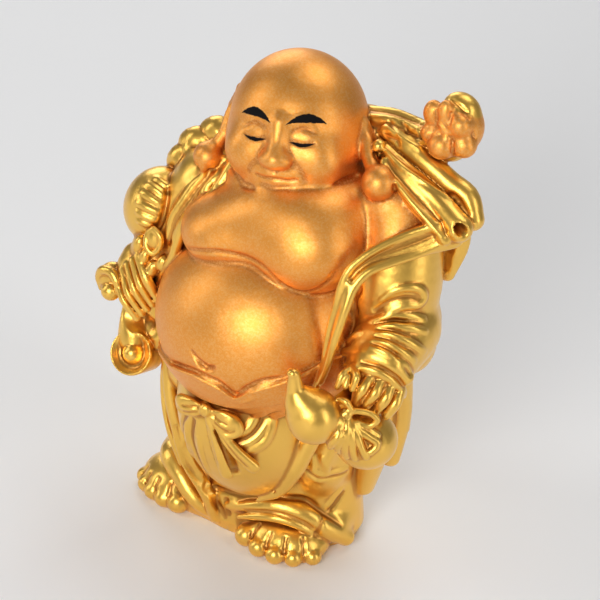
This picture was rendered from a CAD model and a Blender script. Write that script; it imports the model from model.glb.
# %% [markdown]
# # A small gold monk, sculpted as one lump of clay
# The real figure is a resin casting with gold paint on it. Its forms run into each other as clay does under a
# thumb, so here they are not separate meshes either. A block of space is filled with numbers that say how far
# each spot is from the surface. Forms are added to the block one after another, each one melting a little
# into what is already there, and at the end one skin is drawn where the numbers pass through zero.

# %% Frame
import bpy
import math
import numpy as np
from mathutils import Euler, Matrix, Vector


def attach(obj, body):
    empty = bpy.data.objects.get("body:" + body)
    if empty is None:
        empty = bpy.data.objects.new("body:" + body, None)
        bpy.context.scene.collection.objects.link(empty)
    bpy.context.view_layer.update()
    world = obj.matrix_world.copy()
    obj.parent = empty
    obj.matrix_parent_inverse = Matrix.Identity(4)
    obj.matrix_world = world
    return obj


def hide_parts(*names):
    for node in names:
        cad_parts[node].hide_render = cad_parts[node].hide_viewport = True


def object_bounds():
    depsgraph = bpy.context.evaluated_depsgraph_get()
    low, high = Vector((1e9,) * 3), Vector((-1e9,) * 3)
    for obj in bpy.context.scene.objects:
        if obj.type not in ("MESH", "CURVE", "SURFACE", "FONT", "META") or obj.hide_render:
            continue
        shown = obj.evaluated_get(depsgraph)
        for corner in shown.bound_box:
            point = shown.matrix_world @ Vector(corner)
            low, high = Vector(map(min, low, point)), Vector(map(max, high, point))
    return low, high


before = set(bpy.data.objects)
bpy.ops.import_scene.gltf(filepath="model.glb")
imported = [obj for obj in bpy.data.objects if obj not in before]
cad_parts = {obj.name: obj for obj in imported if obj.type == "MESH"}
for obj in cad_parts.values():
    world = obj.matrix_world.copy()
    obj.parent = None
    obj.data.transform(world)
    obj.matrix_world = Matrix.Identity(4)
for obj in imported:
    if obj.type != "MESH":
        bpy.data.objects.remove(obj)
cad_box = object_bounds()
print("CAD box in millimetres", [[round(v * 1000, 2) for v in corner] for corner in cad_box])

# %% [markdown]
# ## The block of clay
# All places are in hundredths of the figure's height, with the front towards -Y, as a sculptor would mark a
# drawing. MIDDLE is the spot of that drawing which stands at the frame's origin, and LOW and HIGH are two
# corners of the block. Every grid point starts out far from any surface. A finer grain shows thinner folds,
# but half the grain takes eight times the room.

# %% Block
HEIGHT = cad_box[1].z - cad_box[0].z
DRAWN_HEIGHT = 100.32
UNIT = HEIGHT / DRAWN_HEIGHT
MIDDLE = np.array([2.785, -5.86, 0.0])
GRAIN = 0.235
LOW = np.array([-36.0, -34.0, -1.5])
HIGH = np.array([41.0, 24.0, 103.0])
COUNT = np.ceil((HIGH - LOW) / GRAIN).astype(int)
AXES = [(LOW[n] + GRAIN * np.arange(COUNT[n])).astype(np.float32) for n in range(3)]
FAR = 9.0
clay = np.full(COUNT, FAR, np.float32)
bare = np.zeros(COUNT, np.float32)
print("grid points", COUNT, "grain in millimetres", round(GRAIN * UNIT * 1000, 3))

# %% [markdown]
# ## Joining and cutting
# Two lumps are joined by keeping the smaller of their distances, and one is cut out of the other by keeping
# the larger. Where the two are nearly equal they are blended, and that is the rounded seam a thumb leaves. A
# Boolean modifier could join meshes too, but all its seams would be sharp.

# %% Joining and cutting
def window(low, high, room):
    """The part of the block between two corners with some room round it, and the x, y and z of its points."""
    first = np.clip(((np.asarray(low) - room - LOW) / GRAIN).astype(int), 0, COUNT - 1)
    last = np.clip(((np.asarray(high) + room - LOW) / GRAIN).astype(int) + 2, first + 1, COUNT)
    part = tuple(slice(a, b) for a, b in zip(first, last))
    x, y, z = AXES[0][part[0]], AXES[1][part[1]], AXES[2][part[2]]
    return part, x[:, None, None], y[None, :, None], z[None, None, :]


def add(part, distance, melt, skin):
    """Joins a form to the clay: the smaller of the two distances, rounded where they are within melt of each
    other. The share of the form that shows there is also what turns the spot to bare skin or to cloth."""
    old = clay[part]
    share = np.clip(0.5 + 0.5 * (old - distance) / melt, 0, 1)
    clay[part] = old + (distance - old) * share - melt * share * (1 - share)
    bare[part] += (skin - bare[part]) * share


def cut(part, distance, melt):
    """Takes a form away from the clay, with an edge rounded by melt."""
    old, away = clay[part], -distance
    share = np.clip(0.5 - 0.5 * (old - away) / melt, 0, 1)
    clay[part] = old + (away - old) * share + melt * share * (1 - share)


def measured(step):
    """Prints how much clay there is once a step is done."""
    amount = np.count_nonzero(clay < 0) * (GRAIN * UNIT * 100)**3
    print(step, "done, clay so far in cubic centimetres", round(float(amount), 2))


# %% [markdown]
# ## Balls
# A ball stretched three ways gives flesh: cheeks, breasts, belly, knees. It could be a scaled sphere of
# Blender's own. As a distance it costs no mesh, and it melts into its neighbours by as much as it is told to.

# %% Balls
def turned_by(turn):
    """The three directions of a form after turning it by degrees about x, then y, then z."""
    return np.array(Euler([math.radians(v) for v in turn]).to_matrix())


def ball_distance(x, y, z, centre, radii, turn=(0, 0, 0)):
    """How far each spot is from a stretched ball: its share of the radii, less one, over how fast that
    grows."""
    axes = turned_by(turn)
    local = [(x - centre[0]) * axes[0, n] + (y - centre[1]) * axes[1, n] + (z - centre[2]) * axes[2, n]
             for n in range(3)]
    u, v, w = (local[n] / radii[n] for n in range(3))
    size = np.sqrt(u * u + v * v + w * w) + 1e-6
    growth = np.sqrt((u / radii[0])**2 + (v / radii[1])**2 + (w / radii[2])**2) + 1e-6
    return size * (size - 1) / growth


def ball(centre, radii, turn=(0, 0, 0), melt=0.8, skin=0.0):
    """A stretched ball joined to the clay."""
    radii = np.broadcast_to(np.asarray(radii, float), 3)
    reach = np.abs(turned_by(turn)) @ radii
    part, x, y, z = window(np.asarray(centre) - reach, np.asarray(centre) + reach, melt + 1.5)
    add(part, ball_distance(x, y, z, centre, radii, turn), melt, skin)


# %% [markdown]
# ## Rolls
# A roll of changing thickness along a curve gives limbs, fingers, hems and ribbons. Blender's own way is a
# curve object with a bevel and a radius at each point. Here it is a row of tapered rods, and pressing them
# flat turns a rod into a band of cloth.

# %% Lines through the block
def curve(points, count):
    """A smooth line through the points: on each span, the cubic that leaves and arrives along the mean
    slope."""
    points = np.asarray(points, float)
    if len(points) == 1:
        return np.repeat(points, 2, 0)
    stops = np.concatenate([[0], np.cumsum(np.linalg.norm(np.diff(points, axis=0), axis=1))])
    slopes = np.gradient(points, stops, axis=0)
    spots = np.linspace(0, stops[-1], count)
    n = np.clip(np.searchsorted(stops, spots, side="right") - 1, 0, len(points) - 2)
    span = (stops[n + 1] - stops[n])[:, None]
    t = ((spots - stops[n])[:, None]) / span
    return ((2 * t**3 - 3 * t**2 + 1) * points[n] + (t**3 - 2 * t**2 + t) * span * slopes[n]
            + (3 * t**2 - 2 * t**3) * points[n + 1] + (t**3 - t**2) * span * slopes[n + 1])


def blank_round(line, reach, room, value):
    """The part of the block round a line, and an array of that size filled with one value."""
    part = window(line.min(0) - reach, line.max(0) + reach, room)[0]
    return part, np.full([s.stop - s.start for s in part], value, np.float32)


def pieces(line, part, reach, room, least=0.0):
    """Goes along the straight pieces of a line. Each gives its number, the place inside part of the spots
    that it reaches, how far along the piece they are, from 0 to 1, and how far they lie from there in x, y
    and z. Least keeps the division by a piece's length safe where a line is a single spot."""
    for n in range(len(line) - 1):
        a, b = line[n], line[n + 1]
        near, x, y, z = window(np.minimum(a, b) - reach[n], np.maximum(a, b) + reach[n], room)
        inner = tuple(slice(p.start - w.start, p.stop - w.start) for p, w in zip(near, part))
        along = b - a
        x, y, z = x - a[0], y - a[1], z - a[2]
        t = np.clip((x * along[0] + y * along[1] + z * along[2]) / (along @ along + least), 0, 1)
        yield n, inner, t, (x - t * along[0], y - t * along[1], z - t * along[2])


# %% Rolls
def roll_distance(points, radii, flat=1.0, thin=(0, -1, 0), room=1.5, relief=None, count=None):
    """How far each spot is from a roll: the nearest of its short straight pieces, each a rod whose radius
    runs evenly from end to end. Flat presses it thinner along thin. Relief is given the share along and the
    angle."""
    line = curve(points, count or max(4, 4 * len(points) - 2))
    radii = np.atleast_1d(radii).astype(float)
    sizes = np.interp(np.linspace(0, 1, len(line)), np.linspace(0, 1, len(radii)), radii)
    part, whole = blank_round(line, sizes.max(), room, FAR)
    thin = np.asarray(thin, float) / np.linalg.norm(thin)
    for n, inner, t, (x, y, z) in pieces(line, part, np.maximum(sizes[:-1], sizes[1:]), room):
        size = sizes[n] + (sizes[n + 1] - sizes[n]) * t
        through = x * thin[0] + y * thin[1] + z * thin[2]
        beside = np.maximum(x * x + y * y + z * z - through**2, 0)
        reach = np.sqrt(beside + (through / flat)**2) / size + 1e-6
        growth = np.sqrt(beside + (through / flat**2)**2) / size**2 + 1e-6
        distance = reach * (reach - 1) / growth
        if relief:
            across = np.cross(line[n + 1] - line[n], thin)
            across /= np.linalg.norm(across)
            angle = np.arctan2(through, x * across[0] + y * across[1] + z * across[2])
            distance = distance - relief((n + t) / (len(line) - 1), angle)
        np.minimum(whole[inner], distance, out=whole[inner])
    return part, whole


def roll(points, radii, melt=0.6, skin=0.0, **shape):
    """A roll joined to the clay."""
    part, distance = roll_distance(points, radii, room=melt + 1.5, **shape)
    add(part, distance, melt, skin)


# %% [markdown]
# ## Turned forms
# A profile carried round an axis gives the coat, the trouser bag, the sack and the sceptre's end, as a Screw
# modifier would. An oval presses it from front to back, and lobes let it swell and shrink on the way round.

# %% Turned forms
def turned(profile, centre, direction, oval=(1, 1), lobes=(0, 0), melt=0.8, soft=0):
    """A turned form joined to the clay. The profile holds radius and height pairs from the axis back to the
    axis; a spot is inside where a line outwards from it crosses the profile an odd number of times. Soft is
    the number of points of a smooth profile through them."""
    profile = np.asarray(profile, float)
    if soft:
        profile = np.maximum(curve(profile, soft), [[0, -1e9]])
    up = Vector(direction).normalized()
    axes = np.array(Vector((0, 0, 1)).rotation_difference(up).to_matrix())
    reach = np.linalg.norm(profile, axis=1).max() * max(1, *oval)
    part, x, y, z = window(np.asarray(centre) - reach, np.asarray(centre) + reach, melt + 1)
    x, y, z = x - centre[0], y - centre[1], z - centre[2]
    a, b, h = (x * axes[0, n] + y * axes[1, n] + z * axes[2, n] for n in range(3))
    a, b = a / oval[0], b / oval[1]
    radius = np.sqrt(a * a + b * b) + 1e-5
    growth = np.sqrt((a / oval[0])**2 + (b / oval[1])**2) / radius
    radius = radius / (1 + lobes[1] * np.cos(lobes[0] * np.arctan2(b * oval[1], a * oval[0])))
    nearest = np.full(np.broadcast(a, b, h).shape, 1e9, np.float32)
    inside = np.zeros(nearest.shape, bool)
    for (r0, h0), (r1, h1) in zip(profile[:-1], profile[1:]):
        dr, dh = r1 - r0, h1 - h0
        t = np.clip(((radius - r0) * dr + (h - h0) * dh) / (dr * dr + dh * dh + 1e-9), 0, 1)
        np.minimum(nearest, (radius - r0 - t * dr)**2 + (h - h0 - t * dh)**2, out=nearest)
        if abs(dh) > 1e-9:
            inside ^= ((h0 > h) != (h1 > h)) & (radius < dr * (h - h0) / dh + r0)
    distance = np.where(inside, -1, 1) * np.sqrt(nearest) / growth
    add(part, distance, melt, 0)


# %% [markdown]
# ## A brush
# Each spot of the block also remembers whether it is bare skin or cloth. A form brings its own paint with it,
# and this brush changes the paint afterwards where cloth and skin share one lump.

# %% Brush
def painted(centre, radii, turn, skin):
    """Changes the paint inside a stretched ball and leaves the form as it is."""
    reach = max(radii)
    part, x, y, z = window(np.asarray(centre) - reach, np.asarray(centre) + reach, 1)
    share = np.clip(0.5 - ball_distance(x, y, z, centre, radii, turn), 0, 1)
    bare[part] += (skin - bare[part]) * share


# %% [markdown]
# ## Tools for carving
# Folds and creases are drawn on the surface, as with a loop tool. A stroke first drops its line onto the
# clay, so that a place guessed by eye need not be exact, then it raises or lowers the clay near the line.

# %% Finding the surface
def sample(volume, points):
    """Reads the block between its grid points, by the share of the way to each of the eight corners round a
    spot."""
    place = np.clip((np.asarray(points) - LOW) / GRAIN, 0, np.array(volume.shape) - 1.001)
    base = place.astype(int)
    x, y, z = (place - base).T
    i, j, k = base.T

    def level(k):
        near = volume[i, j, k] * (1 - x) + volume[i + 1, j, k] * x
        far = volume[i, j + 1, k] * (1 - x) + volume[i + 1, j + 1, k] * x
        return near * (1 - y) + far * y

    return level(k) * (1 - z) + level(k + 1) * z


def slope(points):
    """The direction in which the distance grows, by the difference across half a unit each way."""
    steps = np.eye(3) * 0.5
    found = np.stack([sample(clay, points + step) - sample(clay, points - step) for step in steps], 1)
    return found / (np.linalg.norm(found, axis=1, keepdims=True) + 1e-6)


def dropped(line, reach=2.5):
    """Moves a line's points along the slope until they lie on the clay, but no further than reach."""
    points = line.copy()
    for _ in range(5):
        points -= slope(points) * np.clip(sample(clay, points), -1, 1)[:, None]
    moved = points - line
    far = np.linalg.norm(moved, axis=1, keepdims=True)
    return line + moved * np.minimum(1, reach / (far + 1e-6))


def at_back(line):
    """Places on the back of the clay, from pairs of side and height: the last spot of each column that is
    inside."""
    line = curve(line, 12)
    i, k = (((line - LOW[[0, 2]]) / GRAIN).astype(int)).T
    columns = clay[i, :, k] < 0
    last = columns.shape[1] - 1 - np.argmax(columns[:, ::-1], 1)
    return np.stack([line[:, 0], AXES[1][last], line[:, 1]], 1)


# %% Strokes
def stroke(points, width, height, crisp=0.0, fade=0.2):
    """Raises the clay by height along a line, or lowers it if height is negative. Across the line the change
    falls off as a bell, or as a sharp ridge where crisp is 1, and it fades in and out over the share given at
    the ends."""
    line = dropped(curve(points, max(8, 5 * len(points))))
    shares = np.linspace(0, 1, len(line))
    widths = np.interp(shares, np.linspace(0, 1, np.size(width)), np.atleast_1d(width))
    heights = np.interp(shares, np.linspace(0, 1, np.size(height)), np.atleast_1d(height))
    part, change = blank_round(line, widths.max(), GRAIN, 0)
    for n, inner, t, (x, y, z) in pieces(line, part, np.full(len(line), widths.max()), GRAIN, least=1e-9):
        away = np.sqrt(x**2 + y**2 + z**2)
        near = np.clip(1 - away / (widths[n] + (widths[n + 1] - widths[n]) * t), 0, 1)
        bell = near * near * (3 - 2 * near)
        ridge = bell + (near - bell) * crisp
        share = (n + t) / (len(line) - 1)
        ends = np.clip(np.minimum(share, 1 - share) / max(fade, 1e-3), 0, 1)
        made = ridge * (heights[n] + (heights[n + 1] - heights[n]) * t) * np.sqrt(ends)
        old = change[inner]
        change[inner] = np.where(np.abs(made) > np.abs(old), made, old)
    clay[part] -= change


def folds(lines, width, height, **how):
    """The same stroke along each of several lines."""
    for line in lines:
        stroke(line, width, height, **how)


# %% [markdown]
# ## Flesh
# The bare parts are large soft masses that melt widely into each other: two full breasts that meet in a
# shallow valley, and the belly as one round ball pushed forward of the feet. The wide melt is what makes them
# look filled from inside, where cloth laid on top would look placed.

# %% Torso
BELLY = ((1.3, -7.4, 51.2), (20.7, 19, 18.3), (0, -6, 0))


def torso():
    """Chest, breasts and belly, from the back to the front, and the bare left shoulder."""
    ball((5, -1.5, 70), (17, 13, 12), (0, -10, 0), melt=3, skin=1)
    ball((22.4, -0.6, 77), (9.8, 7.4, 6.8), melt=2.6, skin=1)
    ball((4.4, -7.4, 72), (14.6, 10.4, 9), (-4, -14, 2), melt=3, skin=1)
    ball((-5.4, -8.8, 68.6), (9.4, 9, 7), (-8, -8, 14), melt=2.6, skin=1)
    ball((10.2, -10.2, 70.6), (10.2, 9.4, 9), (-6, -16, 4), melt=2.6, skin=1)
    ball((5.4, -7.2, 75), (12, 8.6, 6), (-10, -8, 2), melt=3, skin=1)
    ball(*BELLY, melt=0.9, skin=1)
    stroke([(18.9, -17.5, 70.6), (16.2, -17.4, 67.1), (12.4, -17.4, 64.8), (8.3, -18.8, 66.2),
            (4.6, -19.3, 68.3), (0.7, -19.2, 68.7), (-4.5, -19, 68.8), (-9.5, -18.1, 67.2), (-13, -15.5, 65)],
           0.9, -0.5, fade=0.15)


torso()
measured("torso")

# %% [markdown]
# ## Head
# The head is an egg that is fuller low down, at the cheeks. It leans back and a little to one side, so
# everything on it is placed by a helper that knows its lean. It sits on a throat with no neck, and one crease
# keeps the two apart.

# %% Head
HEAD_CENTRE = np.array([2.1, 1.8, 87.5])
HEAD_TURN = (-9, -4, 5)
HEAD_AXES = turned_by(HEAD_TURN)


def on_head(x, y, z):
    """A place given from the head's centre, to its left, back and top."""
    return HEAD_CENTRE + HEAD_AXES @ np.array([x, y, z])


def head_line(*places):
    """A line through places that are given from the head's centre."""
    return [on_head(*place) for place in places]


def throat():
    """The soft roll under the chin, with one crease above it."""
    ball(on_head(0.4, -1.6, -10.2), (12.6, 11.2, 4.8), HEAD_TURN, melt=1.2, skin=1)
    stroke(head_line((-10.4, -3.4, -7.6), (-6.2, -8.8, -9.9), (0, -11, -12.2), (6.2, -8.8, -9.9),
                     (10.4, -3.4, -7.6)), 1.2, -0.5)


ball(HEAD_CENTRE, (12.4, 12.3, 13), HEAD_TURN, melt=2.6, skin=1)
ball(on_head(0, -1.5, -4), (12.7, 11.2, 9), HEAD_TURN, melt=2, skin=1)
throat()
measured("head")

# %% [markdown]
# ## Face
# The face is a plain, calm one, set out by the usual rules of thumb: eyes near the middle of the head's
# height, the nose ending about halfway from there to the chin, the mouth about a third of the way from nose
# to chin. The lids are lowered, so that each eye is a smooth bulge with a line across it.

# %% Face
def face():
    """Eye hollows, cheeks, lids, brows, nose, lips and chin, each placed from the head's centre."""
    for side in (-1, 1):
        stroke([on_head(side * 4.3, -10.6, 1.2)], 3.4, -0.9, fade=0)
        ball(on_head(side * 6.1, -8.6, -3.4), (4.2, 3.6, 3.9), HEAD_TURN, melt=3, skin=1)
        ball(on_head(side * 4.3, -10.1, 0.7), (2.5, 1.6, 1.7), HEAD_TURN, melt=0.7, skin=1)
        stroke([on_head(side * x, -11.5, z) for x, z in ((1.4, 3.1), (4.2, 4.3), (7.6, 3.3))], 1.5, 0.35)
        stroke([on_head(side * x, -11.6, z) for x, z in ((2.2, 0.3), (4.3, -0.25), (6.6, 0.45))], 0.7, -0.35)
        stroke([on_head(side * x, -11, z) for x, z in ((2.2, 1.9), (4.3, 2.6), (6.9, 1.7))], 0.8, -0.22)
        ball(on_head(side * 1.75, -13.2, -3), (1.35, 1.5, 1.15), HEAD_TURN, melt=0.9, skin=1)
        stroke([on_head(side * x, -12.5, z) for x, z in ((2.9, -3.3), (4.6, -4.9), (5.3, -6.8))], 1.1, -0.3)
    roll(head_line((0, -11.6, 3.2), (0, -12.9, -0.6), (0, -14, -2.7)), [1.3, 1.25, 1.9], melt=1.6, skin=1)
    for side in (-1, 1):
        stroke([on_head(side * 0.95, -14, -4.1)], 0.75, -0.5, fade=0)
    ball(on_head(0, -10.6, -6.3), (4.4, 2.2, 2.8), HEAD_TURN, melt=2, skin=1)
    stroke([on_head(0, -13, z) for z in (-4.4, -5.3)], 0.8, -0.25, fade=0)
    roll(head_line((-3.4, -11.6, -6.2), (-1.2, -12.7, -5.7), (0, -12.7, -5.9), (1.2, -12.7, -5.7),
                   (3.4, -11.6, -6.2)), [0.4, 0.7, 0.7, 0.7, 0.4], melt=0.7, skin=1)
    roll(head_line((-2.9, -11.5, -6.9), (0, -12.4, -7.35), (2.9, -11.5, -6.9)), [0.4, 0.85, 0.4], melt=0.7,
         skin=1)
    stroke(head_line((-3.9, -11.7, -6.2), (-2, -12.7, -6.6), (0, -13.2, -6.45), (2, -12.7, -6.6),
                     (3.9, -11.7, -6.2)), 0.55, -0.4, fade=0.1)
    ball(on_head(0, -10.1, -10), (3.7, 2.5, 2.3), HEAD_TURN, melt=2.2, skin=1)
    stroke(head_line((-2.6, -12, -8.5), (0, -12.6, -8.3), (2.6, -12, -8.5)), 1.2, -0.25)


face()
measured("face")

# %% [markdown]
# ## Ears
# The ears are long and stand off the head, and each lobe ends in a ball. A flat roll gives the shell, and one
# groove behind the rim is enough to make it read as an ear at this size.

# %% Ears
def ears():
    """A long ear each side: a flat shell with a rim and a hollow, drawn out into a lobe with a ball at its
    end."""
    thin = (1, 0.2, 0.2)
    left = [(14.4, 2.2, 89.6), (15.4, 1.2, 87.6), (17, -1.6, 85.6), (19.4, -4.2, 83.8)]
    right = [(-9.8, 2.6, 90.4), (-10.8, 2.2, 86), (-11.8, -1, 81.4), (-13.4, -3, 78.8)]
    for line, ball_at, size, lean in ((left, (20.5, -5.2, 83.3), 3.2, 1),
                                      (right, (-13.2, -3.4, 78.8), 2.7, -1)):
        roll(line, [1.2, 2.2, 1.7, 1.7], flat=0.75, thin=thin, melt=0.9, skin=1)
        ball(ball_at, size, melt=0.7, skin=1)
        rim = [(x + lean * 1.3, y - 0.6, z) for x, y, z in line[:3]]
        stroke(rim, 1.3, -0.7, fade=0.3)


ears()
measured("ears")

# %% [markdown]
# ## Trousers
# Below the belly the trousers are one smooth bag: a turned profile pressed flat from front to back, with a
# fuller front panel laid on it. Their folds are few, broad and shiny, so they are rolls and wide strokes, and
# thin lines are kept for the places where cloth turns under.

# %% Trousers
def trousers():
    """The leg bag, its full front panel, and the rolled edges on both sides of the panel."""
    turned([(0, 0), (18, 0), (19.2, 3), (18.6, 9), (18.2, 20), (19.4, 35), (0, 43)], (0.6, 1.8, -0.6),
           (0, 0, 1), oval=(1, 0.6), melt=1)
    ball((12.2, -1.4, 24), (7, 8.2, 14), melt=1)
    ball((-12.6, -7, 35), (5.6, 5, 6), melt=0.6)
    ball((-1, -7.5, 29.6), (13.1, 14.6, 18.3), (12, -14, 0), melt=0.3)
    roll([(-18.2, -8, 36.8), (-16.2, -10, 28.8), (-14.2, -10.6, 22), (-12, -10.4, 15), (-8.8, -9.6, 9.2),
          (-6.8, -8.4, 2.2)], [1.3, 1.4, 1.4, 1.5, 1.5, 1.2], melt=0.5)
    roll([(-18.6, -6.6, 37), (-18.5, -7.4, 31), (-17.8, -8.2, 26), (-16, -9.6, 20), (-13.8, -10, 14)],
         [1, 1.3, 1.3, 1, 0.6], melt=0.3)
    roll([(4, -13.4, 13.4), (8.2, -13.4, 17), (10.8, -12.8, 22.6), (12.6, -11.8, 28), (15, -10.4, 34)],
         [0.4, 1.2, 1.9, 1.9, 1.4], melt=0.8)
    roll([(16.8, -7.2, 33), (15.6, -8.2, 25), (14, -8.4, 19)], [1, 1.2, 0.6], melt=2)


def trouser_folds():
    """Ridges and grooves beside the panel, round the knee and in the panel itself."""
    folds([[(9.5, -13, 20.6), (12.1, -11, 21.4), (14.3, -9.4, 20.6), (17.4, -7.9, 20.2), (18.6, -4, 20)],
           [(15.4, -6.6, 9.4), (17.2, -5.8, 11.7), (18.2, -4, 13.8)],
           [(12.9, -10.2, 25.4), (13.6, -9.8, 20.6)], [(15, -9, 25), (15.8, -8.6, 20.8)]], 0.9, 0.6,
          crisp=0.4)
    folds([[(9.5, -13, 19.2), (12.1, -11, 20), (14.3, -9.4, 19.2), (17.4, -7.9, 18.8), (18.6, -4, 18.8)],
           [(15.8, -6.6, 8.4), (17.8, -5.4, 10.8), (18.6, -3.6, 12.8)], [(13, -11.4, 28.4), (13, -10.6, 24)]],
          0.9, -0.7)
    folds([[(-14.9, -12.4, 29), (-13.2, -13, 24), (-11.2, -13, 18.5), (-9, -12.4, 12.6), (-6.6, -11.4, 8)],
           [(-18, -9.4, 28), (-16.4, -9.8, 23.5), (-14.4, -9.8, 18), (-12, -9.6, 12.4), (-9, -8, 6)]], 1,
          -0.9)
    folds([[(-14.3, -11.8, 23.9), (-12.7, -11.9, 18.1), (-10.3, -11, 13), (-7, -9.8, 9.6), (-1, -10, 10),
            (4, -11.4, 13), (8, -13, 18)]], 1.1, -1.4, fade=0.1)
    folds([[(-9.4, -10.4, 12), (-6.7, -9.7, 7.1), (-4.2, -9.3, 2.9)], [(-4.6, -9, 8), (-3.6, -9, 4)]], 1,
          -0.8)
    folds([[(7.2, -20, 40.4), (5.4, -19.9, 36.7), (4.2, -20.4, 34.7), (2.4, -21, 33.6)],
           [(10.4, -18, 39), (8.8, -18, 35.6), (6.4, -18.4, 31.4), (3.4, -19.8, 29.4)]], 1.2, 0.8, fade=0.25)
    folds([[(9.6, -19.6, 41), (8.3, -19.4, 38.8), (6.2, -19, 35.2), (4.6, -20, 33), (2.4, -20.8, 31.8),
            (0, -21, 31.6)],
           [(-7.9, -20.6, 35.7), (-9.4, -19.4, 31.4), (-10.2, -17.8, 28), (-11.4, -13.6, 20.6)],
           [(-6.4, -21, 34), (-6.9, -20.5, 29.4), (-6.1, -19.9, 24.9), (-5.2, -17.4, 19)]], 0.9,
          [-1.5, -1.3, -0.8], fade=0.15)
    folds([[(-8.6, -20, 33), (-8.4, -19.6, 28), (-8.4, -17.4, 22)],
           [(-5, -21, 31), (-4.4, -20.6, 26), (-3.6, -19.4, 21)]], 1, 0.6, fade=0.3)


trousers()
trouser_folds()
measured("trousers")

# %% [markdown]
# ## Waistband
# The trousers hang from a thick band that is pushed down under the belly. It follows the belly so closely
# that it is made from the belly's own ball: a shell just outside it, cut off above and below along two lines.
# A separate strip of cloth would need fitting, and this one can't come loose.

# %% Waistband
def waistband():
    """The band of the trousers, pushed down under the belly: a shell a little outside it, cut off above along
    a line that dips to a point in front, with a rounded rim along that line, and cut off below where the
    trousers hang."""
    centre, radii, turn = BELLY
    part, x, y, z = window((-23, -27, 33), (22, 4, 54), 1)
    top = np.interp(x, [-18, -12, -4.4, 0.6, 3.6, 6.2, 12, 18],
                    [43.6, 45.4, 47.2, 46.2, 44.5, 46.8, 49.8, 53.6])
    low = np.interp(x, [-18, -10, -4.9, 3.9, 10.7, 16], [38.6, 38.6, 39.7, 41.2, 44, 45.4])
    shell = ball_distance(x, y, z, centre, radii, turn) - 0.75
    shell = np.maximum(shell, low - z)
    add(part, np.maximum(shell, (z - top) * 0.9), 0.3, 1)
    stroke([(-17.4, -17, 43.6), (-12, -22.4, 45.4), (-8, -24.2, 46.2), (-3.4, -25.9, 47.2), (0.6, -26, 46.3),
            (3.8, -25.4, 44.4)], 0.9, 0.55, fade=0.1)
    stroke([(3.8, -25.4, 44.4), (5.4, -25.4, 46.2), (8, -25.2, 48.2), (12, -23.8, 49.6), (16, -22, 51.6)],
           0.9, 0.55, fade=0.1)
    stroke([(-17.4, -17.6, 44.6), (-12, -22.8, 46.5), (-8, -24.6, 47.3), (-3.4, -26.2, 48.2),
            (0.6, -26.3, 47.3), (3.8, -25.8, 45.5), (5.6, -25.8, 47.4), (8, -25.4, 49.4), (12, -24.2, 50.8)],
           0.8, -0.55, fade=0.1)
    stroke([(7.2, -25.2, 46), (5.6, -25.4, 44.4), (3.8, -25, 43.6)], 0.8, 0.4, fade=0.3)


waistband()
measured("waistband")

# %% [markdown]
# ## Feet and trouser ends
# The trouser ends lie in an arc over each foot. Each foot is two flattened balls with five toes, and since
# the toes repeat, a loop makes them from a list of their tips.

# %% Feet
def cuffs():
    """The trouser ends, lying in an arc over each foot."""
    roll([(-4, -8.8, 6.2), (2, -9.4, 8.8), (7.4, -8.8, 10), (11.8, -7.8, 8.8), (15.6, -6, 5.6),
          (18.4, -3, 2.4)], [0.8, 1.5, 2.1, 2.2, 2, 1.8], melt=0.9)
    roll([(-1, -10.4, 5.6), (3.4, -11, 7.6), (7.8, -10.8, 8.4), (11.6, -9.8, 7.2), (14.4, -8, 4.8)],
         [0.5, 0.8, 0.9, 0.8, 0.6], melt=0.25)
    ball((9.4, -2.2, 5), (9.6, 7, 5.6), melt=1)
    stroke([(-2.2, -9.4, 8.3), (3, -9.6, 11.4), (7.6, -9.4, 12.6), (11.7, -7.6, 12), (15.1, -6.4, 9.4),
            (18, -4.6, 5.6)], 1, -0.8)
    stroke([(-1, -11.4, 7.4), (3.4, -11.8, 9.2), (7.8, -11.4, 10), (12, -10.4, 8.8), (15, -8.6, 6.4)], 0.5,
           -0.5)
    stroke([(14, -9, 4), (15.4, -8.4, 8), (16.6, -7, 11)], 0.8, -0.8, fade=0.3)
    roll([(-20.2, 0.6, 9.4), (-19, -3, 10), (-15.6, -6.2, 8.4), (-11.4, -8, 4.8), (-6.6, -7.4, 1.6)],
         [2.1, 2.5, 2, 1.7, 1.2], melt=0.6)
    ball((-11.4, -2, 3), (8, 6.4, 5), melt=1)


def feet():
    """Two bare feet, the left pointing forward and the right turned out. Each toe is a short roll to its tip
    from a root that lies some way back towards the foot's middle, with a groove between it and the next."""
    ball((7.9, -7.2, 2.2), (8.6, 6.6, 4.7), melt=0.5)
    ball((-18.9, -1.6, 2.4), (7.8, 6, 4.8), (0, 0, -40), melt=0.5)
    ball((7.8, -8.8, 1.2), (7.6, 4.6, 2.2), melt=0.5)
    ball((-20, -3, 1.2), (6.6, 4, 2.2), (0, 0, -38), melt=0.5)
    sizes = (2.3, 2, 1.95, 1.85, 1.7)
    root_share = 0.27
    left = [(0.9, -10.8, 2.1), (4.4, -12.9, 1.9), (8.1, -13.5, 1.8), (11.6, -12.7, 1.7), (14.8, -10.6, 1.6)]
    right = [(-15.4, -7.3, 2.1), (-18.6, -7, 1.9), (-21.5, -5.8, 1.8), (-23.8, -4.2, 1.7), (-25.3, -1.9, 1.6)]
    for tips, middle in ((left, (7.8, -4, 5)), (right, (-18, 0, 5))):
        tips = np.array(tips)
        roots = tips + (middle - tips) * root_share
        for root, tip, size in zip(roots, tips, sizes):
            roll([root, tip], [size * 0.9, size], melt=0.4)
        gaps = (roots[1:] + roots[:-1]) / 2 + (0, 0, 1.2), (tips[1:] + tips[:-1]) / 2 + (0, 0, 1)
        for first, last in zip(*gaps):
            stroke([first, last], 0.8, -0.7, fade=0.1)
        for root in roots:
            stroke([root + (0, 0, 1.8)], 1.5, -0.5, fade=0)


cuffs()
feet()
measured("feet")

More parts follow.
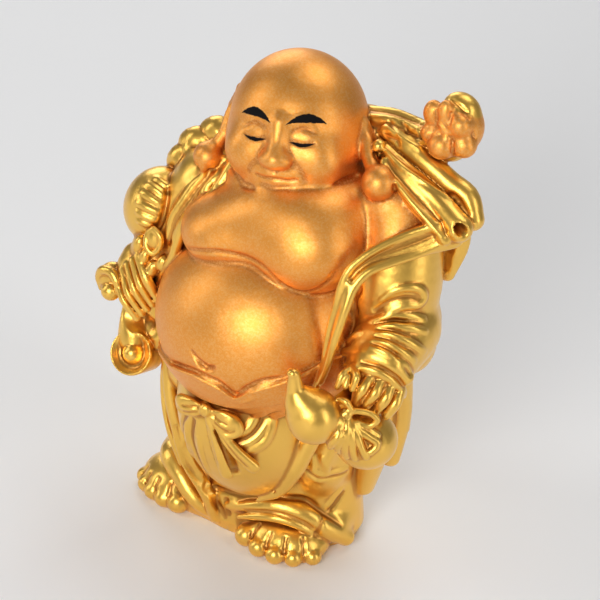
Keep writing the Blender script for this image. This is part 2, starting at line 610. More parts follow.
# %% [markdown]
# ## Sash
# A bow under the waistband, of a small knot, two puffed loops and two flat tails. The creases are what makes
# it cloth: narrow strokes that run out from the knot.

# %% Sash
def sash():
    """The bow under the waistband: a small knot, two creased loops and two tails cut at a slant."""
    ball((-6.8, -21.4, 37), (3, 1.5, 1.8), melt=0.4)
    ball((0.5, -22.2, 36.2), (2.7, 1.6, 2.1), melt=0.4)
    roll([(-4.1, -22.6, 38.4), (-6.6, -22.2, 38.6), (-9.6, -20.8, 37.2), (-9, -21.2, 35.4),
          (-6.6, -21.8, 35.6), (-4, -22.6, 37.4)], [0.4, 0.6, 0.8, 0.7, 0.6, 0.4], melt=0.4)
    roll([(-2.8, -22.6, 38), (0.2, -22.7, 38.2), (2.6, -22.2, 37), (3.2, -22.2, 35), (1.2, -22.8, 33.8),
          (-1.6, -22.8, 36.2)], [0.4, 0.6, 0.8, 0.9, 0.7, 0.4], melt=0.4)
    roll([(-3, -22.6, 37), (-1.8, -22.8, 33.3), (-0.4, -22.7, 29.4), (1, -22, 24.8)], [0.7, 1, 1.3, 1.5],
         flat=0.7, melt=0.12)
    roll([(-2, -22.8, 37), (0.7, -22.9, 33.2), (3.4, -22.4, 30), (5.9, -21.4, 27.4)], [0.6, 1, 1.3, 1.4],
         flat=0.7, melt=0.12)
    ball((-3.4, -22.8, 38), (1.3, 1.1, 1.4), melt=0.15)
    folds([[(-1.5, -22.9, 34.2), (0.1, -22.5, 30.8), (1.5, -21.8, 27.1), (2.6, -21, 23.8)]],
          [0.5, 0.8, 1.1, 1.2], -2.2, fade=0.1)
    folds([[(-3, -23.6, 35), (-1.8, -23.8, 31), (-0.6, -23.4, 26)],
           [(-0.4, -23.8, 34), (2.4, -23.4, 31), (5.4, -22.2, 27.6)],
           [(-4.6, -23.4, 38), (-8.4, -22.2, 37.2)], [(-4.6, -23, 37), (-8, -22, 36)],
           [(-2.2, -23.6, 37.4), (1.6, -23.6, 36.6)], [(-1.6, -23.4, 36.4), (1.6, -23.4, 35)],
           [(-3, -24, 38.8), (-3.8, -24, 37)]], 0.4, -0.7, crisp=0.5, fade=0.15)


sash()
measured("sash")

# %% [markdown]
# ## Sack
# The sack behind the shoulders is a gathered bag whose neck comes forward over the left shoulder. A relief
# that goes round as a wave makes the thin folds of the neck and the twist of the cloth along the right edge,
# so no fold has to be drawn by hand.

# %% Sack
def twisted(share, angle):
    """A ridge that winds four times round the roll on its way along it."""
    return 0.45 * np.cos(2 * np.pi * 4 * share + angle)


def gathered(share, angle):
    """Nine thin folds along the roll, which turn a little on the way."""
    return 0.35 * np.cos(9 * angle + 2 * share)


def sack():
    """The bag, the twisted cloth along its right edge, and its neck, gathered in thin folds."""
    turned([(0, -19), (12, -15.5), (19, -6), (19.6, 3), (14, 11), (0, 14)], (2, 10.4, 69), (-0.16, 0, 1),
           oval=(1, 0.5), lobes=(8, 0.03), melt=1, soft=24)
    roll([(-22, 2.6, 70), (-20.6, 4, 74.4), (-17.6, 5.4, 77.2), (-14, 6.4, 79), (-9, 7, 79.6)],
         [2.2, 2.7, 2.8, 2.9, 2.9], relief=twisted, melt=0.5)
    roll([(-19.6, 2.4, 75.6), (-15.4, 0.4, 74), (-12.6, -1.6, 70)], [1.3, 1.4, 1], melt=0.4)
    ball((12, 12, 82), (7, 6, 5), (0, 20, 0), melt=3)
    roll([(12, 7.4, 84.6), (18.6, 6.4, 86.8), (25.4, 4.2, 88.6), (29.6, 2, 90.6)], [5, 4.4, 3.1, 3],
         relief=gathered, melt=0.5)


sack()
measured("sack")

# %% [markdown]
# ## Coat and the folds behind
# The robe's back is a full coat: an upright turned profile with lobes for its broad folds. The photograph
# doesn't show this side, so it is plainer than the front. Folds spread from the sack's neck over its round
# back, and below it the cloth hangs straight to a wavy hem.

# %% Coat
def robe():
    """Back and shoulders, and the full coat behind the trousers with shallow upright folds."""
    ball((3, 3.6, 68), (23.6, 12, 14), (0, -8, 0), melt=1)
    turned([(0, 0), (17.6, 0.2), (20, 2), (19.8, 12), (20.8, 26), (22.6, 40), (22, 52), (16, 62), (0, 66)],
           (-0.8, 5, 8), (0.01, -0.01, 1), oval=(1, 0.6), lobes=(10, 0.035), melt=1, soft=24)


def sack_folds():
    """Folds that spread from the sack's neck over its back, each a groove with a soft ridge beside it."""
    for share in np.linspace(0, 1, 6):
        low, high = np.array([-17, 76]), np.array([13, 53])
        end = low + share * (high - low) + (-4 * math.sin(math.pi * share), -3 * math.sin(math.pi * share))
        start = np.array([13, 85]) + share * np.array([6, -6])
        middle = (start + end) / 2 + (1.5 - 3 * share, 2)
        line = at_back([start, middle, end])
        stroke(line, [1, 2.2, 1.6], -1.3, fade=0.25)
        stroke(line + (1.6, 0, 1.4), [1, 1.8, 1.4], 0.7, fade=0.3)


def coat_folds():
    """Hanging folds that widen down to the hem, the hem's edge, and the notch between the two trouser
    ends."""
    for n, side in enumerate(np.linspace(-17.5, 16, 9)):
        high, low = 46 + 5 * math.cos(side / 14), 9 + 3 * (n % 3)
        line = at_back([(side * 0.86, high), (side * 0.94 + 0.5, (high + low) / 2), (side, low)])
        stroke(line, [1, 1.8, 2.6], [-0.5, -1.2, -1.5], fade=0.12)
        stroke(line + (2, 0, 0), [0.8, 1.6, 2], [0.3, 0.7, 0.9], fade=0.2)
    hem = np.linspace(-17, 16, 12)
    stroke(at_back(np.stack([hem, 9.6 + 0.5 * np.sin(hem)], 1)), 1.2, 0.5, fade=0.1)
    stroke(at_back([(0, 7.4), (0.6, 3), (0.6, 0)]), 3, -2.4, fade=0)
    folds([at_back([(-14, 5), (-8, 3), (-3, 3.6)]), at_back([(4, 3.6), (9, 3), (14, 5.4)])], 1, -0.7)


robe()
sack_folds()
coat_folds()
measured("coat")

# %% [markdown]
# ## Left sleeve
# A full sleeve is bunched over the bent forearm. Its folds spread from the inside of the elbow like the ribs
# of a fan, each with a groove beside it. Broad strokes with a little crispness give the polished ridges that
# catch the light.

# %% Left sleeve
def left_sleeve():
    """Upper arm, elbow and forearm, the dent inside the elbow, and the folds that spread from it."""
    roll([(24.4, -2.4, 73), (24.5, -4.4, 64), (24.7, -5, 56)], [7.9, 8.7, 8], melt=1.2)
    ball((28, -3.6, 51.4), (5, 5.6, 6.4), melt=1.6)
    roll([(27.8, -4, 56.6), (27, -10.4, 55.2), (26, -15.4, 52.4)], [5.8, 7.2, 7, 6.6, 5.4], melt=0.8)
    stroke([(21.7, -13, 58.9)], 2.4, -2.4, fade=0)
    stroke([(21.4, -17, 69.4), (20.4, -14.6, 66), (20, -11.6, 62.3), (20.8, -12, 59.5)], 0.9, -0.9, fade=0.2)
    folds([[(19.8, -15.3, 54.8), (21.1, -15.1, 56.7), (23, -15.2, 58.5)],
           [(24.8, -13.3, 64.4), (27.1, -12.8, 66.7), (29.6, -11.7, 67.6), (31.7, -10.2, 67),
            (32.7, -9.4, 65), (32.2, -10.3, 63.9), (30.1, -12.2, 63.9), (26.9, -13.6, 62.7),
            (23.4, -13.7, 60.2)],
           [(24.2, -14.1, 60.6), (27.6, -13.3, 62.3), (30.5, -12.2, 62.6), (33.4, -9.2, 61.2)],
           [(25.2, -14.9, 60.4), (28.7, -14, 61.2), (31.3, -12.7, 60.8), (33.6, -10.2, 59)],
           [(25.3, -15.9, 59.9), (29, -15.4, 60), (31.7, -14.5, 58.8), (33.9, -11.4, 55.3)],
           [(25.4, -17, 59.2), (28.9, -16.9, 58.9), (31.3, -16.1, 57.4), (33, -14.1, 54.6)],
           [(25.1, -17.9, 58.2), (28.6, -18, 57.7), (31.1, -17.3, 56.1), (32.8, -15.5, 53)]],
          [0.6, 0.95, 0.95, 0.8], [0.7, 1.25, 1.25, 0.8], crisp=0.35, fade=0.2)
    folds([[(23.9, -13.5, 62), (27.2, -13.6, 64.9), (29.9, -12.3, 65.8), (31.8, -11, 65.4)],
           [(24.8, -14.8, 61), (28.2, -14, 62), (30.9, -12.9, 61.8)],
           [(25.4, -15.8, 60.4), (29, -15, 60.8), (31.6, -13.9, 59.8)],
           [(25.6, -16.8, 59.6), (29, -16.4, 59.4), (31.6, -15.5, 58)],
           [(25.4, -17.8, 58.8), (28.8, -17.8, 58.3), (31.3, -16.9, 56.7)]], 0.7, -0.75, fade=0.3)


def left_cuff():
    """The sleeve's double cuff above the hand."""
    roll([(19.6, -15.6, 53.6), (21.6, -16.4, 54.6), (25.4, -17.5, 56), (29.2, -17.1, 55.2),
          (31.8, -15.8, 52.2)], [0.7, 1.3, 1.9, 2.1, 1.6], melt=0.35)
    stroke([(29.6, -17.6, 58), (31.8, -16.9, 55.6), (32.9, -16.1, 52.6)], 0.7, -0.7, fade=0.3)
    roll([(21.4, -18.4, 53), (24.4, -19.6, 54.4), (27.5, -19.4, 54.4), (30.1, -18.4, 52.7),
          (31.6, -16.6, 49.8), (31.2, -14, 46.8)], [0.5, 0.8, 0.95, 0.95, 0.9, 0.6], melt=0.2)
    folds([[(24.6, -19.8, 55.6), (28.1, -19.6, 55.5), (31, -18.6, 53.7), (32.6, -16.8, 50.4)],
           [(25.4, -20.6, 53.6), (28.4, -19.8, 53), (30.6, -18.8, 50.8), (31.6, -17, 48.2)]], 0.6, -0.7)


def sleeve_end():
    """The sleeve's hanging end and the robe's hem piece below it."""
    roll([(23.4, -4.6, 50), (23.4, -3, 40), (22, -1, 30), (20.8, 1, 20), (19.4, 2, 12.4)],
         [6.9, 5.3, 4.3, 3.3, 2.4], melt=0.8)
    roll([(26.6, -6.6, 46), (26.8, -4.6, 39), (26.5, -3.4, 32), (25.8, -2.6, 24)], [3.6, 3.1, 2.8, 2.1],
         flat=0.7, melt=0.5)
    roll([(28.6, -7.4, 45), (28.8, -5, 38.6), (28.4, -3.4, 32)], [1, 1.3, 1.1], melt=0.3)
    folds([[(27.4, -9, 42), (27.6, -7.4, 36), (26.6, -6, 29)],
           [(24.6, -8, 33), (24, -6, 27), (23.4, -5, 21)]], 0.8, -0.9)


left_sleeve()
left_cuff()
sleeve_end()
# The shoulder is cloth behind and bare in front.
painted((24, 9.6, 78), (13, 9, 12), (0, 0, 0), 0)
painted((24, -9, 80), (10, 8, 6.6), (0, 0, 0), 1)
measured("left sleeve")

# %% [markdown]
# ## Scarf
# Three long folds of cloth lie over the left shoulder. The middle one is a tube, and its open end in front is
# a real hole, because a dark spot of paint would not look right from the side.

# %% Scarf
def scarf():
    """The folds of the scarf from back to front, the leaf of cloth that hangs behind the arm, and its small
    knot."""
    slant = (0.35, -0.8, 0.6)
    roll([(18, 3.4, 86), (26, 0.8, 82.6), (32.4, -1.4, 78.6)], [3.2, 4.4, 4.4], flat=0.5, thin=slant,
         melt=0.6)
    roll([(18.4, 3, 89), (23.4, 1.4, 87.7), (27.8, 0.2, 86), (31.8, -0.6, 84), (35.6, -1.2, 82.2),
          (37.3, -2.4, 79)], [1.4, 2.1, 2.2, 2.2, 2.2, 2], melt=0.25)
    roll([(18.8, 0.3, 87.4), (22.7, -2, 85.7), (26.6, -3.2, 83.9), (30.8, -4, 81.8), (36, -6, 78.8)],
         [1, 1.7, 2, 2.2, 2.5], melt=0.2)
    roll([(20.4, -2.8, 86.2), (24.2, -4.8, 84), (28.4, -6.2, 81.3), (31.8, -7, 79.2), (34.2, -7.8, 77.2)],
         [0.9, 1.4, 1.7, 1.7, 1.2], flat=0.7, thin=slant, melt=0.2)
    roll([(34.2, 0.8, 78), (33.8, 0.4, 71), (32.6, 0.2, 65.2)], [2.2, 2.4, 1.6], flat=0.6, melt=0.3)
    stroke([(33.4, -1.8, 76), (33.2, -1.6, 71), (32.8, -1.4, 66)], 1.3, -2, fade=0.1)
    ball((18.4, -1, 88), 1.2, melt=0.2)
    stroke([(18.7, -3, 86.8)], 1.3, -1.3, fade=0)


def scarf_folds():
    """Ridges and grooves along the folds, short creases where they come from, and the tube's open end."""
    folds([[(19.4, -1.1, 88.1), (22.9, -3.2, 86.9), (27.1, -3.9, 85.2), (30.9, -4, 83.7), (34, -4.4, 82.2)],
           [(23.2, -5.5, 84.9), (26.4, -6.8, 82.8), (30.8, -8.2, 80), (34.4, -8.8, 77.4)],
           [(18.4, 2.6, 90), (22, 0.8, 89.6), (26, 0, 88.4)]], 0.7, 0.6, crisp=0.3, fade=0.15)
    folds([[(19.6, -0.8, 88.8), (22.9, -2.2, 87.2), (27.2, -3.2, 85.8), (31.1, -3.6, 84.5), (34.1, -3.4, 83),
            (37.1, -3.9, 80.4)],
           [(20.7, -3.3, 87.4), (24.2, -5.3, 85.5), (28.2, -6.6, 83.3), (31.7, -7.4, 81.2),
            (34.5, -8.4, 78.8)], [(22.6, -5.6, 84), (26, -7, 81.8), (30.4, -8.4, 79)]], 0.75, -0.75,
          fade=0.15)
    folds([[(18, 4, 91), (20.4, 1.4, 90), (22, -0.6, 88.4)], [(20, 4, 91.4), (22.8, 2, 90)],
           [(17.8, 1, 89.4), (20.8, 0, 89.6)], [(24.6, 3, 91), (26.2, 1.4, 90)],
           [(27.4, 2, 90), (28, 0.4, 88.6), (29.6, 0, 87.6)]], 0.6, -0.7, fade=0.25)
    part, distance = roll_distance([(34.2, -5.6, 80.4), (38.4, -8.8, 79)], [0.8, 1.25])
    cut(part, distance, 0.25)


scarf()
scarf_folds()
measured("scarf")

# %% [markdown]
# ## The sack's mouth
# The mouth is tied off as a knob of rounded bumps. Balls of different sizes that hardly melt look more like
# gathered cloth than an even ring of equal ones would.

# %% Ruffle
def ruffle():
    """The sack's mouth, tied off as a knob of rounded bumps round a small star, with a smooth cap behind
    them."""
    ball((31, 3, 93), (4.8, 4.2, 5.5), (0, 20, 0), melt=0.5, skin=0.8)
    ball((31.6, 3.2, 96.4), (3.6, 2.8, 3.2), (0, 30, 0), melt=0.5)
    ball((30.6, 2.4, 89.4), (2.8, 2.6, 2.6), melt=0.8)
    for centre, radii in (((27.2, 1, 95.9), (1.8, 1.7, 2.4)), ((29.6, 0.4, 96.8), (1.5, 1.4, 2.4)),
                          ((32.5, 0.2, 95.2), 2.1), ((27.2, 0.5, 92.2), 1.8), ((29.7, -0.5, 90.9), 2.5),
                          ((33.4, 0.5, 91.4), 2.3)):
        ball(centre, radii, melt=0.8, skin=0.8)
    folds([[(28.5, -1.2, 95.2), (29.9, -1.4, 94.4), (31.4, -1.2, 94)],
           [(29.9, -1.4, 94.4), (28.4, -1.4, 93.6)], [(29.9, -1.4, 94.4), (31, -1.4, 92.6)]], 0.6, 0.6,
          fade=0.2)
    folds([[(30, 1.4, 99), (31.6, 0.8, 98.6), (33.4, 1, 97.2)], [(32.4, 0.4, 98.2), (33.8, 0.4, 96.4)],
           [(28.2, -0.4, 97.4), (28.4, -0.8, 95)], [(30.9, -0.6, 97.8), (31, -1, 95.4)],
           [(34.4, 0.6, 94.4), (34.8, 0.8, 93)], [(28.2, -0.8, 92.4), (27.6, -0.4, 90.6)],
           [(31.8, -0.8, 92.8), (32, -0.6, 90)]], 0.5, -0.7, fade=0.2)


ruffle()
measured("ruffle")

# %% [markdown]
# ## Lapels
# The robe hangs open, and what reads as cloth there is its edge: a rolled lapel with a thin line beside it.
# The lapels go on after the cloth that they cover.

# %% Lapels
def left_lapel():
    """A broad band from the shoulder that narrows to two lines down to the hand."""
    front = (0.35, -0.8, 0.5)
    roll([(34, -5.6, 77.4), (29.4, -8.8, 75.6), (24.8, -12.4, 73.8), (21.4, -15.6, 71.4), (20, -17.6, 68)],
         [3.2, 2.7, 1.9, 1.3, 0.9], flat=0.5, thin=front, melt=0.4)
    roll([(32.6, -7.2, 79.2), (27.8, -9.8, 77.2), (24.5, -12.6, 75.6), (22, -15, 73.8), (20.4, -16.6, 72),
          (19.4, -17.8, 69), (19, -18.5, 65), (18.4, -19.4, 60.4), (18.2, -20, 56), (18, -20.4, 52),
          (17.2, -21, 48.4)], [0.7, 0.8, 0.8, 0.75, 0.7, 0.7, 0.7, 0.7, 0.7, 0.7, 0.6], melt=0.5)
    roll([(34.6, -7.2, 76.4), (30.4, -10, 74.2), (26.4, -13, 72.8), (23.2, -15.6, 71.4), (21.6, -17.4, 69),
          (21, -19, 65.6), (20.4, -20, 62), (19.8, -20.6, 58.6), (19.2, -20.8, 55), (18, -21, 50)],
         [0.6, 0.7, 0.75, 0.85, 0.9, 0.9, 0.85, 0.8, 0.75, 0.6], melt=0.5)
    roll([(20.2, -17.6, 69), (19.8, -18.8, 64.6), (19.2, -19.6, 59.8), (18.6, -20, 55)], [1.1, 1.2, 1.1, 0.8],
         flat=0.5, thin=(-0.5, -0.8, 0.2), melt=0.5)
    stroke([(33.4, -8.4, 78.2), (29, -10.8, 76), (24.6, -13.6, 74.2)], 0.6, -0.35, fade=0.3)


def right_lapel():
    """Two lines with a flat ribbon between them, down the right side of the belly."""
    roll([(-8, -4.4, 79), (-9.4, -6.6, 75.4), (-11.6, -9.4, 71.6), (-14.4, -10.4, 68), (-15.4, -10.6, 64),
          (-16.6, -10.4, 59.6), (-18.6, -9.6, 55.4), (-20.2, -8.6, 50), (-21, -7.6, 45), (-20.8, -7.2, 38)],
         [0.9, 0.9, 0.95, 1, 1, 1, 1, 1.1, 1.3, 1.2], melt=0.3)
    roll([(-10.4, -3, 78.8), (-12.8, -4.4, 75.4), (-15.8, -5.8, 71.6), (-18.4, -6.4, 67),
          (-19.6, -7.4, 62.4)], [0.8, 0.8, 0.85, 0.85, 0.8], melt=0.3)
    roll([(-9.2, -3, 78), (-13, -5.6, 73), (-16.4, -7.2, 68), (-17.6, -8.2, 62), (-19.2, -8, 55)],
         [1.8, 2.1, 2.2, 2.1, 1.8], flat=0.5, thin=(-0.5, -0.8, 0.2), melt=0.4)
    folds([[(-10.4, -5.4, 77), (-12, -7, 74.4), (-13.8, -9, 71.4), (-15.6, -9.8, 67.6), (-16.2, -10.8, 64)],
           [(-12.7, -5.7, 77.6), (-14.5, -6, 74.3), (-16.4, -7.2, 70.6), (-18.4, -7.9, 66.2),
            (-19, -9.4, 62.6)]], 1, 0.8, crisp=0.4, fade=0.1)
    folds([[(-11.6, -5.2, 77.4), (-13.3, -6.3, 74.2), (-15.2, -7.9, 70.6), (-17.2, -8.6, 66.4),
            (-18, -9.2, 61.7)], [(-14.2, -4.8, 77.4), (-16, -5.2, 74), (-18, -6.2, 70), (-19.6, -7.2, 66)]],
          0.9, -0.8, fade=0.1)


left_lapel()
right_lapel()
measured("lapels")

# %% [markdown]
# ## Gourd
# A bottle gourd hangs from the left hand: two bulbs that melt into a waist, a neck and a stopper. The ribbon
# at its waist is a sheaf of short folds, each a thin roll dropped onto the gourd so that it bends with it.

# %% Gourd
def gourd():
    """Two bulbs, and a neck with a stopper."""
    ball((26.8, -19.8, 39.6), (5.8, 5.8, 5.4), melt=0.6)
    ball((19.2, -26.6, 46.4), (4.9, 4.9, 5.1), melt=0.6)
    roll([(15.7, -28.2, 55), (16.1, -28, 51.6), (17.6, -27.4, 48.6)], [1.1, 1.7, 3.6], melt=1)
    ball((15.5, -28.4, 55.6), (1.1, 1.1, 0.9), melt=0.2)
    roll([(21, -25.6, 45), (25, -22.6, 42)], [3, 3.6], melt=1)


def ribbon():
    """A sheaf of short folds that spread from the knot, a loop above them, and the knot."""
    rays = [[(24.8, -25, 47.6), (27.2, -24, 45.6), (30, -22.8, 43.4)],
            [(24.8, -25, 47.2), (27.5, -24.3, 44.2), (30.1, -23.4, 41.8), (29.4, -24.2, 40.8)],
            [(24.7, -25.2, 46.8), (27, -25, 43.1), (28.8, -24.8, 40)],
            [(24.6, -25.2, 46.6), (26.1, -25.6, 42.7), (27.1, -25.5, 39.4)],
            [(24.5, -25.3, 46.6), (25.1, -26, 43), (25.5, -25.6, 39.2)],
            [(24.4, -25.5, 46.8), (24.2, -26.4, 43.6), (24.2, -25.8, 40)],
            [(24.2, -25.6, 47), (23.6, -26.8, 44.4), (22.6, -26.2, 40.8)]]
    folds(rays, 1.2, 0.5)
    for line in rays:
        roll(dropped(curve(line, 6)), [0.35, 0.78, 0.66], melt=0.12, count=9)
    roll([(25, -24.4, 48), (26.8, -23.6, 48), (28.8, -23, 47.6), (29.7, -22.8, 46.6), (28.6, -23.4, 45.4),
          (26.4, -24.2, 46)], 0.6, melt=0.15)
    roll([(25.4, -24.6, 48.6), (24, -24.6, 50), (22.8, -24.6, 50)], [0.5, 0.7, 0.4], melt=0.2)
    ball((24.6, -24.8, 47.6), (1.2, 1, 1.1), melt=0.2)


gourd()
ribbon()
measured("gourd")

# %% [markdown]
# ## Left hand
# Four fingers bend over the gourd's neck. At this size a finger is one roll through three places, knuckle,
# bend and tip, and the groove between two of them matters more than the finger itself.

# %% Left hand
def left_hand():
    """The back of the hand under the cuff, four fingers bent over the gourd's neck, and the thumb beside
    them."""
    ball((27.4, -17.6, 51), (4, 3.4, 2.8), (0, 30, 0), melt=0.5)
    ball((26.4, -18.4, 47.6), (3.2, 3, 3.8), melt=0.5)
    for line in ([(26.9, -19.6, 53.2), (26.4, -21.6, 51.9), (25.3, -22.2, 48.7)],
                 [(28.6, -19.4, 52.5), (28.4, -21.1, 51.2), (27.1, -21.7, 48.5)],
                 [(30.2, -18.6, 51.3), (30.1, -20.1, 50), (28.8, -20.8, 47.3)],
                 [(31.6, -17.2, 49.8), (31.5, -18.6, 48.5), (30.3, -19.6, 46)]):
        roll(line, [0.95, 1.1, 1], melt=0.15)
    folds([[(27.8, -20.7, 52.6), (27.5, -22.1, 51.3), (26.3, -23.3, 48.9)],
           [(29.5, -20.1, 51.9), (29.3, -21.2, 50.5), (28.1, -22.5, 48.2)],
           [(31, -18.7, 50.4), (30.8, -19.8, 49), (29.7, -21.2, 46.8)]], 0.5, -0.8, fade=0.2)
    for line in ([(23, -20, 54), (22.3, -21.8, 53.4), (21.8, -22.8, 51.2)],
                 [(23.2, -20, 54.2), (25, -22, 53.8), (24.6, -22.8, 51.6)],
                 [(23.4, -21.8, 53.2), (23.3, -22.8, 51.8)]):
        roll(line, [0.6, 0.7, 0.6], melt=0.15)


left_hand()
measured("left hand")

# %% [markdown]
# ## Right arm, bundle and sceptre
# The right hand rests on a rolled and banded bundle, and the round end of a sceptre shows under it. The bands
# repeat, so a loop shares them out between the first and the last. The sceptre's end is a small dish with a
# button, and it is turned, as it would be on a lathe.

# %% Right arm
def right_arm():
    """The gathered upper sleeve, its folds, and the arm below it."""
    roll([(-14, 0.4, 71), (-18.4, -0.6, 62), (-20.6, -2.4, 53), (-20.8, -2.4, 41)], [7, 7.4, 6.8, 5.8],
         melt=1)
    ball((-23.8, -1.2, 64.4), (6.5, 6.9, 7.7), (0, 16, 0), melt=0.3)
    folds([[(-23.6, -3.2, 70.8), (-20.8, -4, 70.4)], [(-24.8, -4.3, 70.2), (-20.4, -5.5, 69.2)],
           [(-25.4, -5.6, 69.2), (-20.2, -6.4, 67.8)], [(-25.8, -6.8, 67.6), (-20.4, -7.1, 66.5)],
           [(-25.6, -7.8, 66.1), (-20.8, -7.8, 64.9)], [(-25.2, -8.2, 64.4), (-21.4, -9, 63.8)]], 0.8, 0.75,
          crisp=0.3, fade=0.35)
    stroke([(-20.3, -4.1, 70.4), (-20, -6.2, 68.3), (-20.2, -7.5, 65.7), (-21, -9, 63.8)], 0.9, -0.9)
    roll([(-20.6, -3, 48), (-21.6, -2.6, 41), (-19.4, -2, 36)], [4.8, 4.6, 2.6], melt=0.8)


def bundle():
    """The rolled bundle, five bands across it with grooves between them, and the scroll at its lower end."""
    roll([(-26, -5.4, 54.4), (-24.8, -6.6, 50.4), (-23.6, -5.8, 46.6)], [3.2, 4.4, 4.4, 4.2, 3],
         thin=(-0.3, -1, 0), flat=0.9, melt=0.4)
    bands = np.array([(-24.2, -9.2, 57.6), (-21.4, -11, 54.4), (-19.2, -10.8, 50.4)])
    across = np.array([(-4.6, 0.8, -5.6), (-4.4, 0, -6), (-4, -0.4, -5)])
    for share in np.linspace(0, 1, 5):
        roll(bands + share * across, [0.7, 1.05, 0.8], melt=0.1)
    for share in np.linspace(0.12, 0.88, 4):
        stroke(bands + share * across, 0.4, -0.6, crisp=0.5, fade=0.1)
    ball((-30.2, -7.2, 49.8), (3, 2.4, 3.4), (0, 10, 0), melt=0.3)
    roll([(-32.3, -8, 47.4), (-32.6, -8.2, 50.2), (-31.4, -8.8, 52.2), (-29.4, -9.4, 52.5), (-27.9, -10, 51),
          (-27.7, -10.2, 49)], [0.5, 0.8, 0.9, 0.9, 0.9, 0.6], melt=0.12)
    ball((-29.7, -9.1, 48.2), 1.9, melt=0.12)


def right_hand():
    """The hand on the bundle, the curl above it and the fingers."""
    ball((-22.6, -5.4, 57.2), (4.4, 4, 4.6), melt=0.5)
    ball((-20.9, -8.8, 61.8), (1.6, 1.3, 2.3), melt=0.3)
    roll([(-21.1, -9, 64.2), (-19.5, -9.5, 63.2), (-19.6, -9.8, 60.7), (-20.8, -10.2, 59.6),
          (-22.1, -9.9, 60.8), (-22.3, -9.1, 62.8), (-21.1, -9, 64.2)], 0.55, melt=0.15)
    for centre in ((-24.4, -8.1, 59.5), (-22.7, -9.1, 57.7), (-20.9, -9.8, 55.9)):
        ball(centre, (1.2, 1.3, 2), (0, 15, 0), melt=0.2)
    ball((-18.9, -9.8, 57.9), (1.1, 1.2, 1.8), (0, 15, 0), melt=0.2)


def sceptre():
    """The sceptre's shaft and its dish."""
    roll([(-25.6, -5, 47), (-26, -6, 41), (-25.6, -6.8, 37.6)], [2.6, 2.8, 3.4], melt=0.5)
    stroke([(-26.6, -8.6, 43.8), (-24, -9, 42.8), (-21.6, -8.6, 42)], 3, -3.2)
    turned([(0, -7), (3.4, -7), (4.2, -0.6), (4.35, 0.8), (4.15, 1.3), (3.85, 1), (3.1, 0.2), (2.4, -0.1),
            (2, 0.4), (1.5, 1.3), (0.8, 1.8), (0, 2)], (-24.6, -9.8, 36.1), (-0.06, -0.86, 0.5), melt=0.15)


right_arm()
bundle()
right_hand()
sceptre()
measured("right side")

# %% [markdown]
# ## Last cuts
# The navel is a short slanting slot. The underside is cut flat, as a casting is ground flat to stand.

# %% Cuts
slot = dropped(curve([(-5.2, -25, 51.8), (-3.4, -25.7, 50.2), (-1.8, -25.9, 49.6), (-0.6, -26, 50.4)], 8))
part, distance = roll_distance(slot, [0.3, 0.6, 1, 0.4])
cut(part, distance, 0.6)
stroke([(-5, -25.2, 50.4), (-2.8, -25.7, 48.4), (-0.6, -25.9, 48.4)], 1.2, 0.35)
clay[:] = np.maximum(clay, -AXES[2][None, None, :])
measured("cuts")

# %% [markdown]
# ## Drawing the skin
# Wherever neighbouring grid points lie on opposite sides of zero, the surface passes between them. Each small
# cube that the surface passes through gets one point, at the mean of the crossings on its edges, and each
# crossed edge joins the four cubes round it with one face.

# %% Points of the skin
CORNERS = np.array([(i, j, k) for i in (0, 1) for j in (0, 1) for k in (0, 1)])
EDGES = [(a, b) for a in range(8) for b in range(a + 1, 8) if np.abs(CORNERS[a] - CORNERS[b]).sum() == 1]


def skin_points(volume, solid):
    """One point for each cube with corners on both sides of zero: the mean of the spots where its edges cross
    zero, by the share of the way between the two corners. Also gives the point's number for each cube."""
    mixed = np.zeros(np.array(volume.shape) - 1, bool)
    first = solid[:-1, :-1, :-1]
    for i, j, k in CORNERS[1:]:
        mixed |= first != solid[i:i + mixed.shape[0], j:j + mixed.shape[1], k:k + mixed.shape[2]]
    cubes = np.argwhere(mixed)
    number = np.full(mixed.shape, -1, np.int32)
    number[tuple(cubes.T)] = np.arange(len(cubes))
    values = np.stack([volume[tuple((cubes + corner).T)] for corner in CORNERS], 1)
    total, hits = np.zeros((len(cubes), 3)), np.zeros(len(cubes))
    for a, b in EDGES:
        va, vb = values[:, a], values[:, b]
        crossed = (va < 0) != (vb < 0)
        share = np.where(crossed, va / np.where(va == vb, 1, va - vb), 0)[:, None]
        total += np.where(crossed[:, None], CORNERS[a] + (CORNERS[b] - CORNERS[a]) * share, 0)
        hits += crossed
    return LOW + GRAIN * (cubes + total / hits[:, None]), number


solid = clay < 0
points, number = skin_points(clay, solid)
print("points of the skin", len(points))


# %% Faces of the skin
def skin_faces(solid, number):
    """One four-sided face round each grid edge that crosses zero, through the points of the four cubes that
    share the edge, and turned so that it faces away from the clay."""
    faces = []
    for axis in range(3):
        step = np.eye(3, dtype=int)[axis]
        side, other = np.eye(3, dtype=int)[[(axis + 1) % 3, (axis + 2) % 3]]
        ends = np.array(solid.shape) - step
        start = solid[:ends[0], :ends[1], :ends[2]]
        stop = solid[step[0]:, step[1]:, step[2]:]
        edges = np.argwhere(start != stop)
        edges = edges[(edges[:, (axis + 1) % 3] > 0) & (edges[:, (axis + 2) % 3] > 0)]
        ring = [edges - side - other, edges - other, edges, edges - side]
        quads = np.stack([number[tuple(cell.T)] for cell in ring], 1)
        outward = start[tuple(edges.T)]
        quads[~outward] = quads[~outward][:, ::-1]
        faces.append(quads)
    return np.concatenate(faces)


quads = skin_faces(solid, number)
print("faces before thinning", len(quads))

# %% [markdown]
# ## One mesh in metres
# The skin becomes a mesh in the frame's own metres. It has far more faces than it needs, because the grid is
# as fine on the smooth belly as on the thinnest fold. Blender's Decimate modifier takes faces away where the
# form is flat and spends them where it bends most.

# %% Casting
FACES = 196000


def in_metres(points):
    """Hundredths of the height to metres in the frame: centred, standing on the ground, and scaled."""
    return (points - MIDDLE) * UNIT


